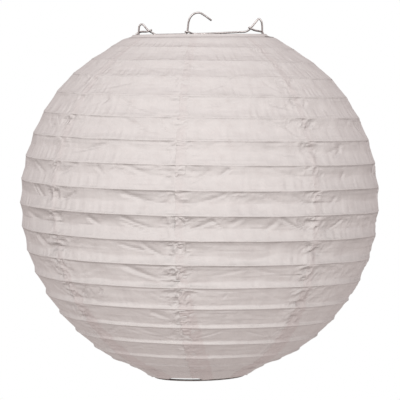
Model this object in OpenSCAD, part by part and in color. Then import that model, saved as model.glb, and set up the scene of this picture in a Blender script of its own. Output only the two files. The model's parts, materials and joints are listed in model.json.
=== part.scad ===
// Round paper lantern: a globe of paper gores on one spiral rib, stretched between
// two wire rings by a bent-wire expander that also carries the hanging hook.
// The origin is the inside top of the hook, where the lantern hangs. +Z is up.

/* [Shade] */
// Diameter of the paper globe over its ribs
shade_d = 305; // [250:5:400]
// Thickness of the paper
paper_t = 0.2; // [0.15:0.05:0.3]
// Number of paper gores around the globe
gores = 8; // [8]
// Turn of the first gore seam about the axis, in degrees
seam_turn = -97; // [-180:1:180]
// Open gap left along each seam between neighbouring gores
seam_gap = 0.1; // [0.05:0.05:0.3]
// Radius at which the paper's lower edge ends, beside the bottom ring
paper_bottom_r = 39.4; // [39.3:0.1:42]
// Radius at which the paper's upper edge ends, over the top ring
paper_top_r = 56; // [55:0.5:57]

/* [Rings] */
// Centreline radius of the top ring
top_ring_r = 56.4; // [54:0.2:57]
// Centreline radius of the bottom ring
bottom_ring_r = 38.3; // [37:0.1:38.4]
// Diameter of the ring wire
ring_wire_d = 1.6; // [1.2:0.1:1.8]
// Lean of the top rim and ring, right side up, in degrees
top_lean = 0.4; // [0:0.1:3]
// Lean of the bottom rim and ring, right side up, in degrees
bottom_lean = 1.3; // [0:0.1:3]
// How far the feet of the legs pull the bottom rim down out of the globe's round
bottom_drop = 2.6; // [0:0.1:4]

/* [Spiral rib] */
// Diameter of the rib wire
rib_wire_d = 0.9; // [0.7:0.1:1.2]
// Latitude that one turn of the rib drops, in degrees
rib_pitch = 7.63; // [7:0.01:12]
// Latitude of the rib where it first passes the front, in degrees
rib_front_lat = 59.2; // [52:0.1:62]
// Latitude that each of the last turns drops, in degrees
rib_end_pitch = 6.2; // [5:0.1:8]
// Lean of the rib's turns, right side up, in degrees
rib_lean = 0.47; // [0:0.01:2]
// Latitude at which the rib starts, under the top ring, in degrees
rib_top_lat = 65.5; // [62:0.5:66]
// Latitude at which the rib ends, above the bottom ring, in degrees
rib_bottom_lat = -72; // [-72:0.5:-68]

/* [Expander] */
// Diameter of the expander wire
wire_d = 1.6; // [1.2:0.1:1.6]
// Height of the hook's inside top above the top ring
hook_rise = 18.6; // [16:0.1:22]
// Sideways step that lets one wire pass another
wire_step = 1.75; // [1.7:0.05:2]
// Setback at which each bend of the wire begins
wire_bend = 2.5; // [1.5:0.5:3]

/* [Hidden] */

paper_color = "#E6E0DC";
steel_color = "#A9A6A2";

shade_r = shade_d / 2;
gore_angle = 360 / gores;
seam_half_angle = seam_gap / shade_r * 90 / PI;
top_lat = acos(paper_top_r / shade_r);
bottom_lat = -acos(paper_bottom_r / shade_r);
lean_from_lat = 45;
gore_rows = 22;
gore_cols = 6;

// The paper is faceted, so what lies inside it keeps clear of the facets' chords.
facet_room = 0.75;
rib_r = shade_r - paper_t - facet_room - rib_wire_d / 2;
rib_steps = 24;
rib_even_turns = 15;
rib_first_turn = (rib_front_lat - rib_top_lat) / rib_pitch;
rib_last_turn = rib_even_turns
    + (rib_front_lat - rib_pitch * rib_even_turns - rib_bottom_lat) / rib_end_pitch;
rib_sides = 6;

ring_facet_room = 0.55;
top_ring_reach = shade_r - paper_t - ring_facet_room - ring_wire_d / 2;
top_ring_z = sqrt(pow(top_ring_reach, 2) - pow(top_ring_r, 2));
bottom_ring_z = -sqrt(pow(shade_r, 2) - pow(paper_bottom_r, 2)) - bottom_drop;
shade_z = -(top_ring_z + hook_rise);

wire_sides = 12;
bend_steps = 3;

// Where each foot grips the bottom ring, and the slot that it needs in the paper.
foot_clear = 0.3;
foot_drop = 1.0;
foot_slot_w = 4;
foot_slot_out = 5;

// Bends of the expander wires as [x, y, z], with z measured from the top ring's plane.
// The left half of the hanger runs from the hook's cut end down to the left ear's tail.
hanger_left_bends = [
    [10.2, 0, 12.8], [6, 0, 16], [0.8, 0, 19.4], [-1.4, 0, 19.5], [-4, 0, 19],
    [-6.4, 0, 17.4], [-8.2, 0, 15], [-9.3, 0, 12], [-9.7, 0, 8.8], [-10.2, 0, 4.2],
    [-10.9, 0, 1.8], [-12.4, 0, 1.2], [-37.6, 0, 0.7], [-40.6, 0, 2.7], [-43.6, 0, 4.2],
    [-47.8, 0, 9.2], [-49.4, 0, 9.9], [-51.2, 0, 8.4], [-51.6, 0, 6], [-51.7, 0, 1.6],
    [-52.4, 0, -6]
];
// The right half starts as an open eye round the hook's stem and ends in the right tail.
hanger_right_bends = [
    [-8.6, wire_step, 3.2], [-10.2, wire_step, 3.2], [-12, wire_step - 0.6, 3.2],
    [-12, 0.6 - wire_step, 3.2], [-10.2, -wire_step, 3.2], [-8.4, -wire_step, 2.6],
    [-5.6, 0, 1.5], [2.5, 0, 1.6], [12, 0, 2], [40, 0, 3.3], [43.2, 0, 5.9],
    [49.6, 0, 13.8], [50.9, 0, 14.4], [52.6, 0, 12.4], [53.3, 0, 9], [53.3, 0, 3.5],
    [53.8, 0, -4.5]
];
// Each leg's upper end passes in front of the ear's slope and behind its upright.
leg_left_bends = [
    [-40.4, -wire_step, 5], [-43.2, -wire_step, 3.6], [-46, -0.8, 3.2], [-49, 0.9, 3.4],
    [-51.6, wire_step, 2.8], [-54.2, wire_step, 1], [-54.4, wire_step, -3],
    [-54, wire_step, -12], [-52.4, 0, -32]
];
leg_right_bends = [
    [41.5, -wire_step, 7.2], [44.2, -wire_step, 5.6], [47.4, -0.8, 4.3], [50.4, 0.9, 3.9],
    [53, wire_step, 3.3], [54.4, wire_step, 1.6], [54.5, wire_step, -3],
    [54, wire_step, -12], [52.4, 0, -32]
];

// Height that a rim's lean and drop add at a distance x from the axis.
function top_rise(x) = x * tan(top_lean);
function bottom_rise(x) = x * tan(bottom_lean) - bottom_drop;
// Share of that height that a latitude takes: none at mid height, all of it at a rim.
function rim_share(lat) =
    let (rim = lat > 0 ? top_lat : -bottom_lat,
         t = max(0, min(1, (abs(lat) - lean_from_lat) / (rim - lean_from_lat))))
    t * t * (3 - 2 * t);
// Point of the globe at a radius from its centre, a latitude and a longitude.
function globe_point(r, lat, lon) =
    let (x = r * cos(lat) * cos(lon))
    [x, r * cos(lat) * sin(lon),
     r * sin(lat) + rim_share(lat) * (lat > 0 ? top_rise(x) : bottom_rise(x))];
// Latitude of the spiral rib after a number of turns from its first pass of the front.
function rib_lat(turn) =
    rib_front_lat - rib_pitch * min(turn, rib_even_turns)
    - rib_end_pitch * max(0, turn - rib_even_turns) + rib_lean * cos(360 * turn - 90);

function unit(v) = v / norm(v);
// Direction of a path at each of its points.
function headings(p) =
    [for (i = [0:len(p) - 1]) unit(p[min(i + 1, len(p) - 1)] - p[max(i - 1, 0)])];
// A side direction carried along the headings without twisting.
function sides_along(t, i = 0, n = [0.1, 1, 0.2]) =
    i == len(t) ? []
    : let (m = unit(n - (n * t[i]) * t[i])) concat([m], sides_along(t, i + 1, m));
// The path through a list of bends, each one rounded by a short curve.
function bent(p) =
    concat([p[0]],
           [for (i = [1:len(p) - 2])
               let (back = p[i - 1] - p[i],
                    on = p[i + 1] - p[i],
                    s = min(wire_bend, 0.48 * norm(back), 0.48 * norm(on)),
                    a = p[i] + s * unit(back),
                    b = p[i] + s * unit(on))
               for (j = [0:bend_steps])
                   let (t = j / bend_steps)
                   (1 - t) * (1 - t) * a + 2 * t * (1 - t) * p[i] + t * t * b],
           [p[len(p) - 1]]);

// Solid round wire along a path, with a side direction at each point.
module swept_wire(path, side, d, around) {
    heading = headings(path);
    last = len(path) - 1;
    rings = [for (i = [0:last], k = [0:around - 1])
        let (a = 360 * k / around, up = cross(heading[i], side[i]))
        path[i] + d / 2 * (cos(a) * side[i] + sin(a) * up)];
    walls = [for (i = [0:last - 1], k = [0:around - 1])
        let (n = (k + 1) % around, lo = i * around, hi = lo + around)
        each [[lo + k, hi + k, hi + n], [lo + k, hi + n, lo + n]]];
    first_cap = [for (k = [0:around - 1]) k];
    last_cap = [for (k = [around - 1:-1:0]) last * around + k];
    polyhedron(rings, concat(walls, [first_cap, last_cap]));
}

// Expander wire through a list of bends.
module bent_wire(bends) {
    path = bent(bends);
    swept_wire(path, sides_along(headings(path)), wire_d, wire_sides);
}

// Puts the shade's centre under the hook.
module hung() { translate([0, 0, shade_z]) children(); }

// One gore of paper, a curved slab between two seams and the two rims.
module gore(i) {
    lon_a = seam_turn + i * gore_angle + seam_half_angle;
    lon_b = seam_turn + (i + 1) * gore_angle - seam_half_angle;
    across = gore_cols + 1;
    layer = (gore_rows + 1) * across;
    points = [for (r = [shade_r, shade_r - paper_t], row = [0:gore_rows], col = [0:gore_cols])
        globe_point(r, bottom_lat + (top_lat - bottom_lat) * row / gore_rows,
                    lon_a + (lon_b - lon_a) * col / gore_cols)];
    skins = [for (row = [0:gore_rows - 1], col = [0:gore_cols - 1])
        let (a = row * across + col, b = a + 1, c = b + across, d = a + across)
        each [[a, c, b], [a, d, c], [layer + a, layer + b, layer + c],
              [layer + a, layer + c, layer + d]]];
    rims = [for (col = [0:gore_cols - 1])
        let (a = col, b = a + 1, c = gore_rows * across + col, d = c + 1)
        each [[a, b, layer + b], [a, layer + b, layer + a],
              [c, layer + d, d], [c, layer + c, layer + d]]];
    seams = [for (row = [0:gore_rows - 1])
        let (a = row * across, b = a + across, c = a + gore_cols, d = c + across)
        each [[a, layer + b, b], [a, layer + a, layer + b],
              [c, d, layer + d], [c, layer + d, layer + c]]];
    polyhedron(points, concat(skins, rims, seams));
}

// Room for one foot of the expander through the paper's lower edge.
module foot_slot(side) {
    local_z = bottom_ring_z + side * bottom_ring_r * tan(bottom_lean);
    translate([side * (bottom_ring_r + foot_slot_out / 2), 0, local_z])
        cube([foot_slot_out, foot_slot_w, 3 * foot_slot_w], center = true);
}

module paper_gore(i) {
    color(paper_color) hung() difference() {
        gore(i);
        foot_slot(-1);
        foot_slot(1);
    }
}

module rib_wire() {
    turns = rib_last_turn - rib_first_turn;
    steps = round(turns * rib_steps);
    path = [for (i = [0:steps])
        let (turn = rib_first_turn + turns * i / steps)
        globe_point(rib_r, rib_lat(turn), 360 * turn - 90)];
    color(steel_color) hung()
        swept_wire(path, [for (p = path) unit(p)], rib_wire_d, rib_sides);
}

// Closed ring of wire, leaning with its rim.
module wire_ring(r, z, lean) {
    hung() translate([0, 0, z]) rotate([0, -lean, 0])
        rotate_extrude($fn = 96) translate([r, 0]) circle(d = ring_wire_d, $fn = 24);
}

module top_ring() { color(steel_color) wire_ring(top_ring_r, top_ring_z, top_lean); }
module bottom_ring() { color(steel_color) wire_ring(bottom_ring_r, bottom_ring_z, bottom_lean); }

// Bends of one foot: down inside the ring, out over it and down again outside it.
function foot_bends(side) =
    let (grip = (ring_wire_d + wire_d) / 2 + foot_clear,
         ring_x = bottom_ring_r,
         ring_z = bottom_ring_z + side * bottom_ring_r * tan(bottom_lean) - top_ring_z)
    [[side * (ring_x - grip), 0, ring_z + grip - 0.2],
     [side * (ring_x + grip), 0, ring_z + grip - 0.2],
     [side * (ring_x + grip + 0.2), 0, ring_z - foot_drop]];

module expander_wire(bends) {
    color(steel_color) hung() translate([0, 0, top_ring_z]) bent_wire(bends);
}
module hanger_left_wire() { expander_wire(hanger_left_bends); }
module hanger_right_wire() { expander_wire(hanger_right_bends); }
module leg_left_wire() { expander_wire(concat(leg_left_bends, foot_bends(-1))); }
module leg_right_wire() { expander_wire(concat(leg_right_bends, foot_bends(1))); }

for (i = [1:gores])
    paper_gore(i - 1);
rib_wire();
top_ring();
bottom_ring();
hanger_left_wire();
hanger_right_wire();
leg_left_wire();
leg_right_wire();
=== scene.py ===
import json

import bpy
import numpy as np
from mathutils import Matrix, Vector


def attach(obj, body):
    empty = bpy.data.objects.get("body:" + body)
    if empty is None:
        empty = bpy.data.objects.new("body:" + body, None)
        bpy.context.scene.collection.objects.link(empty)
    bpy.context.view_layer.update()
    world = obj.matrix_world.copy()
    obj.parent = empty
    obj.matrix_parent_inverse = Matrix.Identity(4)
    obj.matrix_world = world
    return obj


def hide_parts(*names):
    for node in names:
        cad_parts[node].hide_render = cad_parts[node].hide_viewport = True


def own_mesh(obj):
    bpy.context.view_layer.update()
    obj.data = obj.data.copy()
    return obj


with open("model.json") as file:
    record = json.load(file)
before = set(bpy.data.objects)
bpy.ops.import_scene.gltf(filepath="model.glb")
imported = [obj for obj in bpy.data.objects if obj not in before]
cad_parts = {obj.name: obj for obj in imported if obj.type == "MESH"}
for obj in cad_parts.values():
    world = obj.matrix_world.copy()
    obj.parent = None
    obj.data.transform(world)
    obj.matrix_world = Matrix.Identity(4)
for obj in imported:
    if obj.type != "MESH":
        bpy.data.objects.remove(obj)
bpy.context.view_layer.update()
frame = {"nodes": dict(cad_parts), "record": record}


# ---- Place and camera ---------------------------------------------------------------------
# The lantern hangs from the origin, the inside top of its hook. Its globe is centred straight
# below, and the camera looks at the middle of the globe from the front, a little from above.
MM = 0.001
globe_r = 152.5
paper_bottom_r = 39.4
openings = {m["name"]: np.array(m["pos_m"]) / MM for m in frame["record"]["mounts"]}
top_plane = openings["top_opening"][2]
bottom_plane = openings["bottom_opening"][2]
bottom_drop = 2.6
centre_z = bottom_plane + bottom_drop + np.sqrt(globe_r**2 - paper_bottom_r**2)

camera_distance = 2290
camera_elevation = np.radians(3)
camera_lens = 241.5
camera_aside = 0.4

camera = bpy.data.objects.new("camera", bpy.data.cameras.new("camera"))
bpy.context.collection.objects.link(camera)
bpy.context.scene.camera = camera
camera.data.lens = camera_lens
camera.data.sensor_width = 36
camera.data.clip_end = 60
camera.location = (
    camera_aside * MM,
    -camera_distance * np.cos(camera_elevation) * MM,
    (centre_z + camera_distance * np.sin(camera_elevation)) * MM,
)
camera.rotation_euler = (np.pi / 2 - camera_elevation, 0, 0)


# ---- Top ring and bottom ring -------------------------------------------------------------
# Two closed rings of drawn steel wire, welded end to end. The paper is folded over the top
# one. The bottom one shows as a dark line, and both lean a little, right side up.
ring_wire = 1.6
top_ring_r = 56.4
bottom_ring_r = 38.3
top_lean = np.tan(np.radians(0.4))
bottom_lean = np.tan(np.radians(1.3))


def linear(hex_colour):
    """An sRGB hex colour as the linear red, green, blue and alpha that a shader takes."""
    c = np.array([int(hex_colour[i : i + 2], 16) for i in (1, 3, 5)]) / 255
    return (*np.where(c <= 0.04045, c / 12.92, ((c + 0.055) / 1.055) ** 2.4), 1.0)


def add_node(tree, kind, settings=None, inputs=None):
    """Adds one node with its settings. An input is given a value, or a socket to be linked to."""
    node = tree.nodes.new(kind)
    for name, value in (settings or {}).items():
        setattr(node, name, value)
    for name, value in (inputs or {}).items():
        if isinstance(value, bpy.types.NodeSocket):
            tree.links.new(value, node.inputs[name])
        else:
            node.inputs[name].default_value = value
    return node


def colour_ramp(tree, factor, stops):
    """A ramp through (position, hex colour) stops."""
    node = add_node(tree, "ShaderNodeValToRGB", {}, {"Fac": factor})
    band = node.color_ramp
    while len(band.elements) < len(stops):
        band.elements.new(0.5)
    for element, (position, hex_colour) in zip(band.elements, stops):
        element.position = position
        element.color = linear(hex_colour)
    return node.outputs["Color"]


def value_ramp(tree, factor, stops):
    """A ramp of plain numbers, as greys, through (position, value) stops."""
    node = add_node(tree, "ShaderNodeValToRGB", {}, {"Fac": factor})
    band = node.color_ramp
    while len(band.elements) < len(stops):
        band.elements.new(0.5)
    for element, (position, value) in zip(band.elements, stops):
        element.position = position
        element.color = (value, value, value, 1)
    return node.outputs["Color"]


def drawn_steel_wire(name, bright, dull, smooth, rough, coordinates):
    """Steel wire pulled through a die: grey metal with fine lines along it, which only tint the
    gloss, and cloudy dull patches a few mm long where the zinc has greyed."""
    material = bpy.data.materials.new(name)
    material.use_nodes = True
    tree = material.node_tree
    shader = tree.nodes["Principled BSDF"]
    place = add_node(tree, "ShaderNodeTexCoord").outputs[coordinates]
    cloud = add_node(
        tree, "ShaderNodeTexNoise", {}, {"Vector": place, "Scale": 1 / (4 * MM), "Detail": 3.0}
    )
    along = add_node(
        tree,
        "ShaderNodeMapping",
        {"vector_type": "POINT"},
        {"Vector": place, "Scale": (1 / (8 * MM), 1 / (0.25 * MM), 1 / (0.25 * MM))},
    )
    lines = add_node(
        tree,
        "ShaderNodeTexNoise",
        {},
        {"Vector": along.outputs["Vector"], "Scale": 1.0, "Detail": 2.0},
    )
    colour = colour_ramp(tree, cloud.outputs["Fac"], [(0.38, dull), (0.62, bright)])
    gloss = value_ramp(tree, lines.outputs["Fac"], [(0.35, smooth), (0.65, rough)])
    grooves = add_node(
        tree,
        "ShaderNodeBump",
        {},
        {"Height": lines.outputs["Fac"], "Strength": 0.25, "Distance": 0.02 * MM},
    )
    tree.links.new(colour, shader.inputs["Base Color"])
    tree.links.new(gloss, shader.inputs["Roughness"])
    tree.links.new(grooves.outputs["Normal"], shader.inputs["Normal"])
    shader.inputs["Metallic"].default_value = 1.0
    return material


ring_steel = drawn_steel_wire("dull_drawn_steel", "#9C9894", "#787471", 0.3, 0.5, "Object")
for node in ("top_ring", "bottom_ring"):
    for place in frame["nodes"][node].material_slots:
        place.material = ring_steel


# ---- Spiral rib ---------------------------------------------------------------------------
# One thin spring-steel wire wound from the top ring to the bottom ring inside the paper, in even
# turns that lie closer together near the bottom. It is wound by hand, so it wanders a little.
rib_wire = 0.9
rib_pitch = 7.63
rib_end_pitch = 6.2
rib_even_turns = 15
rib_front_lat = 59.2
rib_lean = 0.47
rib_top_lat = 65.5
rib_bottom_lat = -72
rib_steps_a_turn = 72
skin_out = 0.3
paper_thick = 0.08
lean_from_lat = 45
top_pull = 1.7
bottom_pull = 2.9
top_rim_lat = np.degrees(np.arccos(56 / globe_r))
bottom_rim_lat = -np.degrees(np.arccos(paper_bottom_r / globe_r))


def ease(t):
    """0 below 0 and 1 above 1, with a smooth S between: three t squared less two t cubed."""
    t = np.clip(t, 0, 1)
    return t * t * (3 - 2 * t)


def on_globe(radius, lat, lon):
    """Points in mm at a radius from the globe's centre, a latitude and a longitude in degrees. The
    lean of each rim and the drop of the lower one grow from nothing nearer mid height. The globe is
    pulled a little flat beside each rim, where the paper is gathered in."""
    lat_r, lon_r = np.radians(lat), np.radians(lon)
    radius = radius - top_pull * np.exp(-(((lat - 57) / 9.5) ** 2)) * ease((68.3 - lat) / 3.5)
    radius = radius - bottom_pull * np.exp(-(((lat + 67) / 6.5) ** 2)) * ease((lat + 75) / 4)
    points = np.stack(
        [
            radius * np.cos(lat_r) * np.cos(lon_r),
            radius * np.cos(lat_r) * np.sin(lon_r),
            centre_z + radius * np.sin(lat_r),
        ],
        axis=-1,
    )
    upper = ease((lat - lean_from_lat) / (top_rim_lat - lean_from_lat))
    lower = ease((-lat - lean_from_lat) / (-bottom_rim_lat - lean_from_lat))
    x = points[..., 0]
    points[..., 2] += upper * top_lean * x + lower * (bottom_lean * x - bottom_drop)
    return points


def wandering(x, seed):
    """A smooth curve from -1 to 1 through a seeded random height at each whole number."""
    heights = np.random.default_rng(seed).uniform(-1, 1, 997)
    low = np.floor(x).astype(int)
    return heights[low % 997] + (heights[(low + 1) % 997] - heights[low % 997]) * ease(x - low)


def even_lat(turn):
    """Latitude at the front after a number of turns: an even drop, and less from the 15th on."""
    even = rib_pitch * np.minimum(turn, rib_even_turns)
    last = rib_end_pitch * np.maximum(turn - rib_even_turns, 0)
    return rib_front_lat - even - last


def even_turn(lat):
    """Number of turns after which the front of the rib is at a latitude: even_lat turned round."""
    turn = (rib_front_lat - lat) / rib_pitch
    last = rib_even_turns + (even_lat(rib_even_turns) - lat) / rib_end_pitch
    return np.where(turn < rib_even_turns, turn, last)


def rib_lat(turn):
    """Latitude of the rib after a number of turns, counted from the first pass of the front. Its
    turns lean right side up, and it wanders by a seventh of a degree except near its ends."""
    even = even_lat(turn)
    held = ease((rib_top_lat - even) / 6) * ease((even - rib_bottom_lat) / 6)
    wander = 0.1 * wandering(turn * 14, 3) + 0.05 * wandering(turn * 37, 4)
    return even + rib_lean * np.cos(2 * np.pi * turn - np.pi / 2) + held * wander


def tube(path, radius, sides, across):
    """A round wire along a path: a circle square to the path at each of its points, and a flat
    sheared end with a small chamfer at both ends. across is a direction, or one for each point,
    that is never in line with the path. Gives points, faces, and a length and an angle in mm
    along and round the wire for each corner of each face."""
    step = np.diff(path, axis=0)
    step /= np.linalg.norm(step, axis=1)[:, None]
    chamfer = 0.25 * radius
    path = np.concatenate(
        [path[:1], path[:1] + step[0] * chamfer, path[1:-1], path[-1:] - step[-1] * chamfer, path[-1:]]
    )
    heading = np.gradient(path, axis=0)
    heading /= np.linalg.norm(heading, axis=1)[:, None]
    if np.ndim(across) == 2:
        across = np.concatenate([across[:1], across[:1], across[1:-1], across[-1:], across[-1:]])
    side = np.cross(heading, np.broadcast_to(across, path.shape))
    side /= np.linalg.norm(side, axis=1)[:, None]
    up = np.cross(heading, side)
    swell = np.full(len(path), float(radius))
    swell[[0, -1]] = radius - chamfer
    angle = 2 * np.pi * np.arange(sides) / sides
    circle = np.cos(angle)[None, :, None] * side[:, None] + np.sin(angle)[None, :, None] * up[:, None]
    skin = path[:, None] + swell[:, None, None] * circle
    points = np.concatenate([skin.reshape(-1, 3), path[:1], path[-1:]])
    first, last = len(points) - 2, len(points) - 1

    ring = np.arange(len(path) - 1)[:, None] * sides
    k = np.arange(sides)[None, :]
    n = (k + 1) % sides
    walls = np.stack([ring + k, ring + n, ring + sides + n, ring + sides + k], -1).reshape(-1, 4)
    start = np.stack([np.full(sides, first), n[0], k[0]], -1)
    end_ring = (len(path) - 1) * sides
    end = np.stack([np.full(sides, last), end_ring + k[0], end_ring + n[0]], -1)

    run = np.concatenate([[0], np.cumsum(np.linalg.norm(np.diff(path, axis=0), axis=1))])
    turn = 2 * np.pi * radius / sides
    u = run[:-1, None] + 0 * k
    v = run[1:, None] + 0 * k
    round_it = turn * k + 0 * u
    wall_uv = np.stack(
        [
            np.stack([u, round_it], -1),
            np.stack([u, round_it + turn], -1),
            np.stack([v, round_it + turn], -1),
            np.stack([v, round_it], -1),
        ],
        axis=-2,
    ).reshape(-1, 2)
    cap_uv = np.zeros((6 * sides, 2))
    faces = walls.tolist() + start.tolist() + end.tolist()
    return points, faces, np.concatenate([wall_uv, cap_uv])


def new_piece(name, points, faces, uv, material):
    """A mesh object from points in mm, faces, and a UV in mm for each corner of each face."""
    mesh = bpy.data.meshes.new(name)
    mesh.from_pydata((points * MM).tolist(), [], faces)
    layer = mesh.uv_layers.new(name="surface")
    layer.uv.foreach_set("vector", (uv * MM).astype(np.float32).ravel())
    mesh.materials.append(material)
    mesh.shade_smooth()
    piece = bpy.data.objects.new(name, mesh)
    bpy.context.collection.objects.link(piece)
    return piece


rib_steel = drawn_steel_wire("thin_spring_steel", "#A19D99", "#7F7B78", 0.28, 0.45, "UV")
rib_ends = even_turn(np.array([rib_top_lat, rib_bottom_lat]))
rib_turns = np.linspace(*rib_ends, int((rib_ends[1] - rib_ends[0]) * rib_steps_a_turn))
rib_path = on_globe(
    globe_r + skin_out - paper_thick - rib_wire / 2 - 0.05, rib_lat(rib_turns), rib_turns * 360 - 90
)
rib_out = rib_path - np.array([0, 0, centre_z])
rib = new_piece("rib_wire_wound", *tube(rib_path, rib_wire / 2, 8, rib_out), rib_steel)


# ---- Paper gores --------------------------------------------------------------------------
# Eight gores of thin long-fibred paper, lapped and glued along their seams and to the rib.
# Between two turns of the rib the paper tucks in along the fold that it is stored on. It is
# folded over the top ring, and its lower edge is glued beside the bottom ring.
gore_count = 8
first_seam = -97
gore_columns = 100
rows_a_band = 22
relief_seed = 11
hem_drop_lat = 1.95
join_lat = 64.6
hem_lift = 0.87


def wrinkled(x, y, seed):
    """A smooth surface from -1 to 1 through a seeded random height at each whole x and y."""
    heights = np.random.default_rng(seed).uniform(-1, 1, (251, 257))
    i, j = np.floor(x).astype(int), np.floor(y).astype(int)
    fx, fy = ease(x - i), ease(y - j)
    low = heights[i % 251, j % 257] * (1 - fx) + heights[(i + 1) % 251, j % 257] * fx
    high = heights[i % 251, (j + 1) % 257] * (1 - fx) + heights[(i + 1) % 251, (j + 1) % 257] * fx
    return low * (1 - fy) + high * fy


def fold_depth(lat):
    """How far the paper tucks in between two turns of the rib, in mm, at each latitude."""
    lats = [-75, -68, -50, -25, 0, 15, 28, 45, 60]
    return np.interp(lat, lats, [0.2, 0.6, 1.4, 1.8, 1.6, 1.2, 0.75, 0.5, 0.4])


def tuck(s, fold, lat):
    """Depth from 0 at both turns of the rib to 1 at the fold: a quarter sine in and a quarter
    cosine out, each mixed with a straight line so that the fold stays a crease. Above mid height
    it turns into a plain half sine, because the paper is stretched flat there."""
    inward = np.clip(s / fold, 0, 1)
    outward = np.clip((1 - s) / (1 - fold), 0, 1)
    t = np.where(s < fold, inward, outward)
    flat = ease((lat - 12) / 26)
    return (1 - flat) * (0.5 * np.sin(np.pi / 2 * t) + 0.5 * t) + flat * np.sin(np.pi * s)


def band_place(lat, lon):
    """Number of the band and the share of it, from the turn of the rib above, for each point."""
    turn = (lon + 90) / 360
    band = even_turn(lat - rib_lean * np.cos(2 * np.pi * turn - np.pi / 2)) - turn
    for _ in range(3):
        k = np.floor(band)
        above, below = rib_lat(k + turn), rib_lat(k + 1 + turn)
        band = k + (above - lat) / (above - below)
    return np.floor(band), band - np.floor(band)


def swags():
    """Long diagonal wrinkles that hang like swags towards the seams, with a few strays between,
    as rows of: turn at the upper end, share of the band at the top and at the foot, run along
    the band in mm to the foot, width and height. Left of a seam they fall to the right."""
    draw = np.random.default_rng(relief_seed)
    seams = (first_seam + 90) / 360 + np.arange(2, 8 * 17) / gore_count
    foot_turn = np.repeat(seams, 3)
    side = np.tile([-1, 1, -1], len(seams))
    strays = 150
    foot_turn = np.concatenate([foot_turn, draw.uniform(0.2, 17, strays)])
    side = np.concatenate([side, draw.choice([-1, 1], strays)])
    count = len(side)
    long = np.where(np.arange(count) < count - strays, 1.0, 0.5)
    girth = 2 * np.pi * globe_r * np.maximum(np.cos(np.radians(even_lat(foot_turn))), 0.2)
    run = -side * draw.uniform(12, 52, count) * long
    aside = side * draw.uniform(-1, 9, count)
    turn = foot_turn + (aside - run) / girth
    top = draw.uniform(0.0, 0.3, count)
    foot = draw.uniform(0.6, 1.0, count) * np.where(long == 1, 1, 0.8)
    height = draw.uniform(0.0, 1.0, count) ** 1.5 * 0.55
    lats = [-70, -35, -5, 30, 45, 60]
    height *= np.interp(even_lat(foot_turn), lats, [0.15, 0.4, 1, 0.75, 0.35, 0.2])
    width = draw.uniform(1.1, 2.3, count)
    return np.stack([turn, top, np.maximum(foot, top + 0.2), run, width, height], -1)


def swag_depth(turn, s, height):
    """Depth in mm of the swags where the rib has made so many turns and at a share s of a band
    so high. Across its width each is a hollow beside a ridge: half plus the offset, times a
    bell curve. It is bowed, and tapers more slowly towards its foot than at its top."""
    depth = np.zeros_like(s)
    for at, top, foot, run, width, size in swags():
        girth = 2 * np.pi * globe_r * max(np.cos(np.radians(even_lat(at))), 0.2)
        near = np.abs(turn - at) < (abs(run) * 1.2 + 4 * width) / girth
        if not near.any():
            continue
        fall = (foot - top) * height
        x = (turn[near] - at) * girth
        y = (s[near] - top) * height
        x = x + 0.12 * run * np.sin(np.pi * np.clip(y / fall, 0, 1))
        length = np.hypot(run, fall)
        ahead = (x * run + y * fall) / length
        off = (x * fall - y * run) / length / width * np.sign(run)
        taper = ease(ahead / (0.2 * length)) * ease((length - ahead) / (0.5 * length))
        depth[near] += 1.3 * size * taper * (0.5 + off) * np.exp(-(off**2))
    return depth


def crumple_depth(lat, k, s, down, along, fold, seam_mm):
    """Depth in mm of the small creases: broken folds above the fold line and beside the seams,
    upright gathers that hang below it, and fine creases that run along the band."""
    broken = np.abs(wrinkled(along / 4.2, down / 5.5 + 13 * k, 31))
    broken += 0.5 * np.abs(wrinkled(along / 1.7 + down / 9, down / 2.6 + 7 * k, 32))
    busy = 0.08 + 0.5 * ease(0.1 + wandering(along / 22, 33)) + 2.0 * np.exp(-((seam_mm / 10) ** 2))
    busy *= 0.35 + 0.65 * ease((fold + 0.12 - s) / 0.15)
    level = np.interp(lat, [-70, -40, -15, 0, 30, 60], [0.1, 0.4, 0.75, 0.55, 0.35, 0.14])
    hung = ease((s - fold) / 0.2) * (0.25 + 0.75 * ease(0.4 - 2 * wandering(along / 15, 35)))
    gathers = (0.09 * hung + 0.05) * wrinkled(along / 1.25, down / 16 + 5 * k, 34)
    return level * busy * (broken - 0.5) + gathers + 0.07 * wrinkled(along / 9, down / 1.7 + 11 * k, 36)


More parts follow.
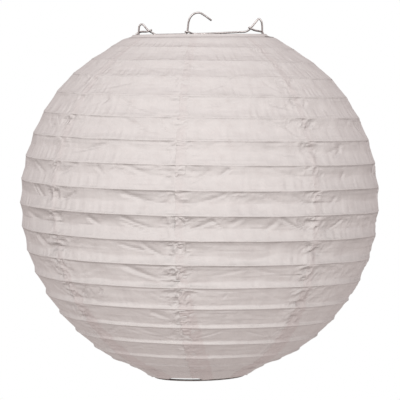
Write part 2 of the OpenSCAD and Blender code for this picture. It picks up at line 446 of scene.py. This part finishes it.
def relief(lat, lon):
    """How far inward the paper lies from the globe, in mm, and the part of it that the bump makes
    stronger: less of the tuck in the lower half, where a steep ledge stands over each turn. The
    tuck is deeper in some places than others and shallower at the stiff seams. The paper drops
    off sharply just below the rib and rises over it in a low ridge. Swags and creases die out at
    the rib, where the paper is glued down."""
    k, s = band_place(lat, lon)
    turn = k + (lon + 90) / 360
    height = np.radians(rib_pitch) * globe_r
    down = s * height
    along = turn * 360
    seam = np.abs(((lon - first_seam) / 360 * gore_count + 0.5) % 1 - 0.5) * 360 / gore_count
    seam_mm = np.radians(seam) * globe_r * np.cos(np.radians(lat))
    stiff = np.exp(-((seam_mm / 6) ** 2))

    uneven = 1 + 0.26 * wandering(along / 13, 21) + 0.14 * wandering(along / 4.5, 22)
    fold = np.interp(lat, [-65, -35, -20, -8, 8, 60], [0.92, 0.9, 0.78, 0.55, 0.45, 0.5])
    shifts = np.interp(lat, [-60, -35, -12, 0, 40], [0.02, 0.05, 0.13, 0.05, 0.05])
    fold = fold + shifts * (wandering(along / 11, 23) - 0.8 * stiff) + 0.02 * wandering(along / 2.7, 24)
    fold = np.clip(fold, 0.15, 0.93)
    hanging = np.clip((down - 0.55) / (height - 1.1), 0, 1)
    tucked = fold_depth(lat) * uneven * (1 - 0.25 * stiff) * tuck(hanging, fold, lat)

    step = np.interp(lat, [-75, -60, -5, 12, 30, 60], [0.2, 0.35, 0.42, 0.3, 0.24, 0.2])
    step = step * (0.7 + 0.5 * wandering(along / 6, 25))
    step = step * (1 - np.exp(-np.maximum(down - 0.3, 0) / 0.7)) * (1 - s)
    ridge = np.interp(lat, [-20, 20, 60], [0.12, 0.1, 0.06]) + 0.05 * wandering(along / 5, 26)
    ridge = ridge * (np.exp(-((down / 0.75) ** 2)) + np.exp(-(((height - down) / 0.75) ** 2)))

    free = ease(s / 0.08) * ease((1 - s) / 0.1)
    creases = crumple_depth(lat, k, s, down, along, fold, seam_mm) + swag_depth(turn, s, height)
    depth = tucked + step - ridge + free * creases
    return depth, depth - tucked * np.interp(lat, [-30, -5], [0.65, 0])


def lap_width(lat):
    """Width in mm of the glued lap along a seam. The gores are cut a little full below the
    middle, so the laps widen towards the bottom ring."""
    return 7 + 12 * ease((-8 - lat) / 50)


def came_loose(lon):
    """1 along the stretch left of the front where the paper has come off the bottom ring."""
    front = (lon + 90 + 180) % 360 - 180
    return ease((front + 40) / 8) * ease((4 - front) / 6)


def lower_edge(lon):
    """Latitude of the paper's lower edge. It lies just above the bottom ring, and is nicked
    round each foot of the legs and a little short where it has come loose."""
    foot = np.abs((lon + 90) % 180 - 90)
    nick = ease((5.2 - foot) / 2.2)
    return bottom_rim_lat + 0.9 + 0.5 * came_loose(lon) + 1.6 * nick + 0.05 * wandering(lon / 6, 41)


def round_the_ring(lon, under):
    """Rows of points in mm where the paper's upper edge dives under the top ring, turns half
    round it and comes down outside as the hem, with under the depth of the lap below."""
    ring_lat = np.degrees(np.arctan2(top_plane - centre_z, top_ring_r))
    ring_reach = np.hypot(top_plane - centre_z, top_ring_r)

    def dive(at):
        """Radius of the paper between the first turn of the rib and the underside of the ring."""
        share = ease((at - join_lat) / (ring_lat - join_lat))
        return globe_r + skin_out + (ring_reach - hem_lift - globe_r - skin_out) * share

    dive_lat = join_lat + (ring_lat - join_lat) * np.linspace(0, 1, 8)[1:, None] + 0 * lon
    dive_points = on_globe(dive(dive_lat) - under, dive_lat, lon)

    over = np.radians(np.linspace(-90, 90, 9)[1:, None])
    up_r, up_lat = np.cos(np.radians(ring_lat)), np.sin(np.radians(ring_lat))
    wrap = hem_lift + under
    r = top_ring_r + wrap * (np.sin(over) * up_r - np.cos(over) * up_lat)
    z = top_plane + wrap * (np.sin(over) * up_lat + np.cos(over) * up_r)
    x = r * np.cos(np.radians(lon))
    over_points = np.stack([x, r * np.sin(np.radians(lon)), z + top_lean * x], -1)

    fall = np.linspace(0, 1, 7)[1:, None]
    hem_end = ring_lat - hem_drop_lat - 0.22 * wandering(lon / 5, 54) - 0.12 * wandering(lon / 1.7, 55)
    hem_lat = ring_lat + (hem_end - ring_lat) * fall
    hem_r = dive(hem_lat) + 0.14 + (2 * hem_lift - 0.14) * (1 - fall) ** 2 + under
    return np.concatenate([dive_points, over_points, on_globe(hem_r, hem_lat, lon + 0 * fall)])


def gore(i):
    """One gore as a grid of points in mm. Rows run down from the rib's last full turn to its
    first, with extra rows beside each turn, then up to the ring, round it and down its
    outside as the hem. Columns run from one lapped seam to the next. Gives the rows' points
    and the length in mm along each row and column."""
    left, right = (first_seam + (i + n) * 360 / gore_count for n in (0, 1))
    first_band = int(np.ceil(even_turn(62.4) - (left + 90 - 12) / 360))
    last_band = int(np.floor(even_turn(-70.3) - (right + 90 + 14) / 360))
    t = np.arange(rows_a_band) / rows_a_band
    in_band = t - 0.6 * np.sin(2 * np.pi * t) / (2 * np.pi)
    bands = (np.arange(last_band, first_band - 1, -1)[:, None] + (1 - in_band)[None, :]).ravel()
    bands = np.concatenate([bands[bands <= last_band], [first_band]])

    share = np.concatenate([[0, 0.001], np.linspace(0.01, 0.99, gore_columns - 3), [0.999, 1]])

    def lons(lat, drift):
        wide = np.degrees(lap_width(lat) / (globe_r * np.cos(np.radians(lat))))
        a = left - 0.4 + drift * wide / 12
        return a + (right + wide - a) * share[None, :]

    # Between the first and the last full turn of the rib the rows follow the rib.
    flat_lat = even_lat(bands[:, None] + ((left + right) / 2 + 90) / 360)
    ragged = 0.7 * wandering(bands[:, None] * 5.5 + 31 * i, 51)
    ragged += 0.6 * wandering(bands[:, None] * 17 + 7 * i, 52)
    lon = lons(flat_lat, ragged)
    turn = (lon + 90) / 360
    k = np.floor(bands)[:, None]
    s = bands[:, None] - k
    lat = (1 - s) * rib_lat(k + turn) + s * rib_lat(k + 1 + turn)

    # Below them the rows run out evenly to the lower edge, and above them to the ring.
    n_low, n_high = 34, 26
    down = (np.arange(n_low) / n_low)[:, None]
    edge_lon = lons(np.full((1, 1), bottom_rim_lat + 2.0), ragged[:1])
    low_lon = edge_lon + (lon[:1] - edge_lon) * ease(down * 1.6)
    low_lat = lower_edge(low_lon) + (lat[:1] - lower_edge(low_lon)) * down
    high = (np.arange(1, n_high + 1) / n_high)[:, None]
    rim_lon = lons(np.full((1, 1), join_lat), ragged[-1:])
    high_lon = lon[-1:] + (rim_lon - lon[-1:]) * high
    high_lat = lat[-1:] + (join_lat - lat[-1:]) * high
    lon = np.concatenate([low_lon, lon, high_lon])
    lat = np.concatenate([low_lat, lat, high_lat])

    # The right edge lies one thickness lower, under the neighbour's lap. The left edge is glued
    # down over the last gore and a welt of glue stands along it.
    from_left = (lon - lon[:, :1]) * np.radians(1) * globe_r * np.cos(np.radians(lat))
    from_right = (lon[:, -1:] - lon) * np.radians(1) * globe_r * np.cos(np.radians(lat))
    lap = lap_width(lat)
    under = 0.1 * ease((lap + 0.8 - from_right) / 0.8)
    welt = 0.1 * np.exp(-(((from_left - 0.8) / 0.8) ** 2)) * (1 + wandering(lat * 1.3 + 17 * i, 53))
    double = ease((lap - from_left) / 1.5) * (0.4 + 0.6 * ease((-8 - lat) / 35))

    # The edge that has come loose curls up off the ring, and stands out just right of there.
    settled = ease((join_lat - lat) / 4)
    lower = ease((lat - lower_edge(lon)) / 1.5)
    curled = 0.8 * ease((lower_edge(lon) + 3.5 - lat) / 3.5) * came_loose(lon)
    flare = 0.2 * (1 - lower) * ease((lon + 88) / 4) * ease((-75 - lon) / 6)
    sunk, bump_height = relief(lat, lon)
    folds = sunk * settled * lower + 0.25 * (1 - lower)
    bump_height = bump_height * settled * lower
    inward = folds + under + curled - welt - flare
    points = on_globe(globe_r + skin_out - inward, lat, lon)
    points = np.concatenate([points, round_the_ring(lon[-1:], under[-1:])])

    rows, columns = points.shape[:2]
    run = np.linalg.norm(np.diff(points, axis=0), axis=2).mean(axis=1)
    down_mm = np.concatenate([[0], np.cumsum(run)])
    rim_rows = np.full((rows - len(lat), columns), top_ring_r)
    middle = np.concatenate([np.cos(np.radians(lat)) * globe_r, rim_rows])
    across_mm = (share[None, :] - 0.5) * np.radians(360 / gore_count) * middle
    rest = np.zeros((rows - len(lat), columns))
    return (
        points,
        across_mm,
        np.broadcast_to(down_mm[:, None], (rows, columns)),
        np.concatenate([-bump_height, rest]),
        np.concatenate([double, rest + double[-1:]]),
    )


def grid_faces(rows, columns):
    """Four corners of each square of a grid, so that the faces look outward."""
    a = (np.arange(rows - 1)[:, None] * columns + np.arange(columns - 1)[None, :]).ravel()
    return np.stack([a, a + 1, a + columns + 1, a + columns], -1)


def rice_paper():
    """Thin long-fibred tissue, undyed: soft matt white with a warm grey cast. Long pale fibres
    lie in it every few mm, it is cloudy where the pulp is thicker, and fine crumples cover it."""
    material = bpy.data.materials.new("crumpled_rice_paper")
    material.use_nodes = True
    tree = material.node_tree
    shader = tree.nodes["Principled BSDF"]
    surface = add_node(tree, "ShaderNodeTexCoord").outputs["UV"]

    def noise(size_mm, detail, distortion=0.0, stretch=(1, 1, 1), turn=0.0):
        """Noise whose features are size_mm wide, drawn out by stretch and turned in the sheet."""
        placed = add_node(
            tree,
            "ShaderNodeMapping",
            {"vector_type": "TEXTURE"},
            {"Vector": surface, "Scale": stretch, "Rotation": (0, 0, turn)},
        )
        return add_node(
            tree,
            "ShaderNodeTexNoise",
            {},
            {
                "Vector": placed.outputs["Vector"],
                "Scale": 1 / (size_mm * MM),
                "Detail": detail,
                "Distortion": distortion,
            },
        ).outputs["Fac"]

    pulp = colour_ramp(tree, noise(9, 5.0), [(0.3, "#E2DFDC"), (0.5, "#E6E4E1"), (0.7, "#E9E7E4")])
    strands = [
        value_ramp(tree, noise(0.7, 1.0, 0.6, (14, 1, 1), turn), [(0.6, 0.0), (0.68, 1.0)])
        for turn in (0.5, 1.9, -0.7)
    ]
    fibres = add_node(tree, "ShaderNodeMath", {"operation": "MAXIMUM"}, {0: strands[0], 1: strands[1]})
    fibres = add_node(
        tree, "ShaderNodeMath", {"operation": "MAXIMUM"}, {0: fibres.outputs[0], 1: strands[2]}
    )
    tinted = add_node(
        tree,
        "ShaderNodeMixRGB",
        {"blend_type": "MIX"},
        {
            "Fac": add_node(
                tree, "ShaderNodeMath", {"operation": "MULTIPLY"}, {0: fibres.outputs[0], 1: 0.35}
            ).outputs[0],
            "Color1": pulp,
            "Color2": linear("#F1ECE8"),
        },
    )
    crumple = noise(2.4, 4.0, 0.8)
    gathers = noise(1.6, 2.0, 0.2, (1, 7, 1))
    sheet_height = add_node(
        tree, "ShaderNodeMath", {"operation": "MULTIPLY_ADD"}, {0: gathers, 1: 0.5, 2: crumple}
    )
    fine = add_node(
        tree,
        "ShaderNodeBump",
        {},
        {"Height": sheet_height.outputs[0], "Strength": 0.42, "Distance": 0.5 * MM},
    )
    raised = add_node(
        tree,
        "ShaderNodeBump",
        {},
        {
            "Height": fibres.outputs[0],
            "Strength": 0.3,
            "Distance": 0.04 * MM,
            "Normal": fine.outputs["Normal"],
        },
    )
    double = add_node(tree, "ShaderNodeAttribute", {"attribute_name": "double"}).outputs["Fac"]
    lapped = add_node(
        tree,
        "ShaderNodeMixRGB",
        {"blend_type": "MULTIPLY"},
        {"Fac": double, "Color1": tinted.outputs["Color"], "Color2": linear("#F9F5F5")},
    )
    folds = add_node(tree, "ShaderNodeAttribute", {"attribute_name": "folds"}).outputs["Fac"]
    creased = add_node(
        tree,
        "ShaderNodeBump",
        {},
        {"Height": folds, "Strength": 1.0, "Distance": 2.0, "Normal": raised.outputs["Normal"]},
    )
    tree.links.new(lapped.outputs["Color"], shader.inputs["Base Color"])
    tree.links.new(creased.outputs["Normal"], shader.inputs["Normal"])
    shader.inputs["Roughness"].default_value = 0.82
    shader.inputs["IOR"].default_value = 1.45
    shader.inputs["Specular IOR Level"].default_value = 0.3
    return material


paper = rice_paper()
folding = [rib]
for i in range(gore_count):
    points, across_mm, down_mm, height, double = gore(i)
    rows, columns = points.shape[:2]
    faces = grid_faces(rows, columns)
    uv = np.stack([across_mm, down_mm], -1).reshape(-1, 2) + 400 * i
    name = f"paper_gore_{i + 1}_crumpled"
    sheet = new_piece(name, points.reshape(-1, 3), faces.tolist(), uv[faces].reshape(-1, 2), paper)
    for field, values in (("folds", height * MM), ("double", double)):
        store = sheet.data.attributes.new(field, "FLOAT", "POINT")
        store.data.foreach_set("value", values.astype(np.float32).ravel())
    body = sheet.modifiers.new("paper thickness", "SOLIDIFY")
    body.thickness = paper_thick * MM
    body.offset = -1
    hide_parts(f"paper_gore_{i + 1}")
    folding.append(sheet)

# The rib and the paper close like a bellows towards the top ring as the bottom ring rises.
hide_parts("rib_wire")
for piece in folding:
    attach(piece, "shell")
    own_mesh(piece)


# ---- Expander -----------------------------------------------------------------------------
# Four bent wires of bright galvanised steel. The two halves of the hanger meet where the
# right one's eye is closed round the hook's stem. Each leg is hooked through an ear at its
# upper end, and its foot grips the bottom ring and keeps the globe stretched.
expander_wire = 1.6
wire_step = 1.75
wire_bend = 2.5
bend_steps = 7
foot_grip = (ring_wire + expander_wire) / 2 + 0.3
foot_drop = 1.0

# Bends as [x, y, z] in mm, with z from the top ring's plane.
hanger_left = [
    [10.2, 0, 12.8], [6, 0, 16], [0.8, 0, 19.4], [-1.4, 0, 19.5], [-4, 0, 19],
    [-6.4, 0, 17.4], [-8.2, 0, 15], [-9.3, 0, 12], [-9.7, 0, 8.8], [-10.2, 0, 4.2],
    [-10.9, 0, 1.8], [-12.4, 0, 1.2], [-37.6, 0, 0.7], [-40.6, 0, 2.7], [-43.6, 0, 4.2],
    [-47.8, 0, 9.2], [-49.4, 0, 9.9], [-51.2, 0, 8.4], [-51.6, 0, 6], [-51.7, 0, 1.6],
    [-52.4, 0, -6],
]
hanger_right = [
    [-8.6, wire_step, 3.2], [-10.2, wire_step, 3.2], [-12, wire_step - 0.6, 3.2],
    [-12, 0.6 - wire_step, 3.2], [-10.2, -wire_step, 3.2], [-8.4, -wire_step, 2.6],
    [-5.6, 0, 1.5], [2.5, 0, 1.6], [12, 0, 2], [40, 0, 3.3], [43.2, 0, 5.9],
    [49.6, 0, 13.8], [50.9, 0, 14.4], [52.6, 0, 12.4], [53.3, 0, 9], [53.3, 0, 3.5],
    [53.8, 0, -4.5],
]
leg_left = [
    [-40.4, -wire_step, 5], [-43.2, -wire_step, 3.6], [-46, -0.8, 3.2], [-49, 0.9, 3.4],
    [-51.6, wire_step, 2.8], [-54.2, wire_step, 1], [-54.4, wire_step, -3],
    [-54, wire_step, -12], [-52.4, 0, -32],
]
leg_right = [
    [41.5, -wire_step, 7.2], [44.2, -wire_step, 5.6], [47.4, -0.8, 4.3], [50.4, 0.9, 3.9],
    [53, wire_step, 3.3], [54.4, wire_step, 1.6], [54.5, wire_step, -3],
    [54, wire_step, -12], [52.4, 0, -32],
]


def foot(side):
    """Bends of a foot: down inside the bottom ring, out over it and down again outside it."""
    ring_z = bottom_plane - top_plane + side * bottom_lean * bottom_ring_r
    shoulder = ring_z + foot_grip - 0.2
    return [
        [side * (bottom_ring_r - foot_grip), 0, shoulder],
        [side * (bottom_ring_r + foot_grip), 0, shoulder],
        [side * (bottom_ring_r + foot_grip + 0.2), 0, ring_z - foot_drop],
    ]


def bent(bends):
    """The path through a list of bends, each rounded by a parabola that starts and ends one
    setback away from the corner, or just under half way to the next one."""
    p = np.array(bends, float)
    back, on = p[:-2] - p[1:-1], p[2:] - p[1:-1]
    back_len, on_len = np.linalg.norm(back, axis=1), np.linalg.norm(on, axis=1)
    setback = np.minimum(wire_bend, 0.48 * np.minimum(back_len, on_len))
    a = p[1:-1] + back * (setback / back_len)[:, None]
    b = p[1:-1] + on * (setback / on_len)[:, None]
    t = np.linspace(0, 1, bend_steps + 1)[None, :, None]
    arcs = (1 - t) ** 2 * a[:, None] + 2 * t * (1 - t) * p[1:-1, None] + t**2 * b[:, None]
    return np.concatenate([p[:1], arcs.reshape(-1, 3), p[-1:]])


galvanised = drawn_steel_wire("bright_galvanised_wire", "#E2DEDB", "#C2BCB9", 0.2, 0.36, "UV")
never_along = np.array([0, 1, 1]) / np.sqrt(2)
wires = {
    "hanger_left_wire": hanger_left,
    "hanger_right_wire": hanger_right,
    "leg_left_wire": leg_left + foot(-1),
    "leg_right_wire": leg_right + foot(1),
}
for node, bends in wires.items():
    path = bent(bends) + np.array([0, 0, top_plane])
    wire = new_piece(f"{node}_bent", *tube(path, expander_wire / 2, 20, never_along), galvanised)
    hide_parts(node)
    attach(wire, "expander")


# ---- Studio -------------------------------------------------------------------------------
# A plain pale floor well below the lantern, one wide soft box above the front and a little to
# the left, and an even surround, which the camera sees as white.
floor_drop = 330
floor_half = 2000
floor_z = (centre_z - globe_r - floor_drop) * MM


def floor_paint():
    """Matt pale grey studio floor paint with faint roller mottling a few cm across."""
    material = bpy.data.materials.new("matt_studio_floor")
    material.use_nodes = True
    tree = material.node_tree
    shader = tree.nodes["Principled BSDF"]
    place = add_node(tree, "ShaderNodeTexCoord").outputs["Object"]
    mottle = add_node(tree, "ShaderNodeTexNoise", {}, {"Vector": place, "Scale": 1 / (60 * MM)})
    colour = colour_ramp(tree, mottle.outputs["Fac"], [(0.3, "#DEDBD9"), (0.7, "#E2DFDD")])
    tree.links.new(colour, shader.inputs["Base Color"])
    shader.inputs["Roughness"].default_value = 0.9
    return material


floor_mesh = bpy.data.meshes.new("floor")
half = floor_half * MM
floor_mesh.from_pydata(
    [(-half, -half, floor_z), (half, -half, floor_z), (half, half, floor_z), (-half, half, floor_z)],
    [],
    [(0, 1, 2, 3)],
)
floor_mesh.materials.append(floor_paint())
floor = bpy.data.objects.new("floor", floor_mesh)
bpy.context.collection.objects.link(floor)


def soft_light(name, width, height, power, direction, distance):
    """A soft box that looks at the globe's centre from a direction and a distance in mm."""
    light = bpy.data.objects.new(name, bpy.data.lights.new(name, "AREA"))
    light.data.shape = "RECTANGLE"
    light.data.size = width * MM
    light.data.size_y = height * MM
    light.data.energy = power
    towards = np.array(direction, float) / np.linalg.norm(direction)
    light.location = Vector(towards * distance * MM) + Vector((0, 0, centre_z * MM))
    light.rotation_euler = Vector(towards).to_track_quat("Z", "Y").to_euler()
    bpy.context.collection.objects.link(light)


soft_light("key", 3800, 900, 34, (-0.1, -1, 0.54), 2400)

world = bpy.data.worlds.new("studio")
bpy.context.scene.world = world
world.use_nodes = True
sky = world.node_tree
surround = sky.nodes["Background"]
surround.inputs["Color"].default_value = linear("#FFF1F2")
surround.inputs["Strength"].default_value = 0.515
backdrop = add_node(
    sky, "ShaderNodeBackground", {}, {"Color": linear("#FFFFFF"), "Strength": 1.0}
)
seen = add_node(sky, "ShaderNodeLightPath").outputs["Is Camera Ray"]
either = add_node(
    sky,
    "ShaderNodeMixShader",
    {},
    {0: seen, 1: surround.outputs["Background"], 2: backdrop.outputs["Background"]},
)
sky.links.new(either.outputs["Shader"], sky.nodes["World Output"].inputs["Surface"])
bpy.context.scene.view_settings.view_transform = "Standard"
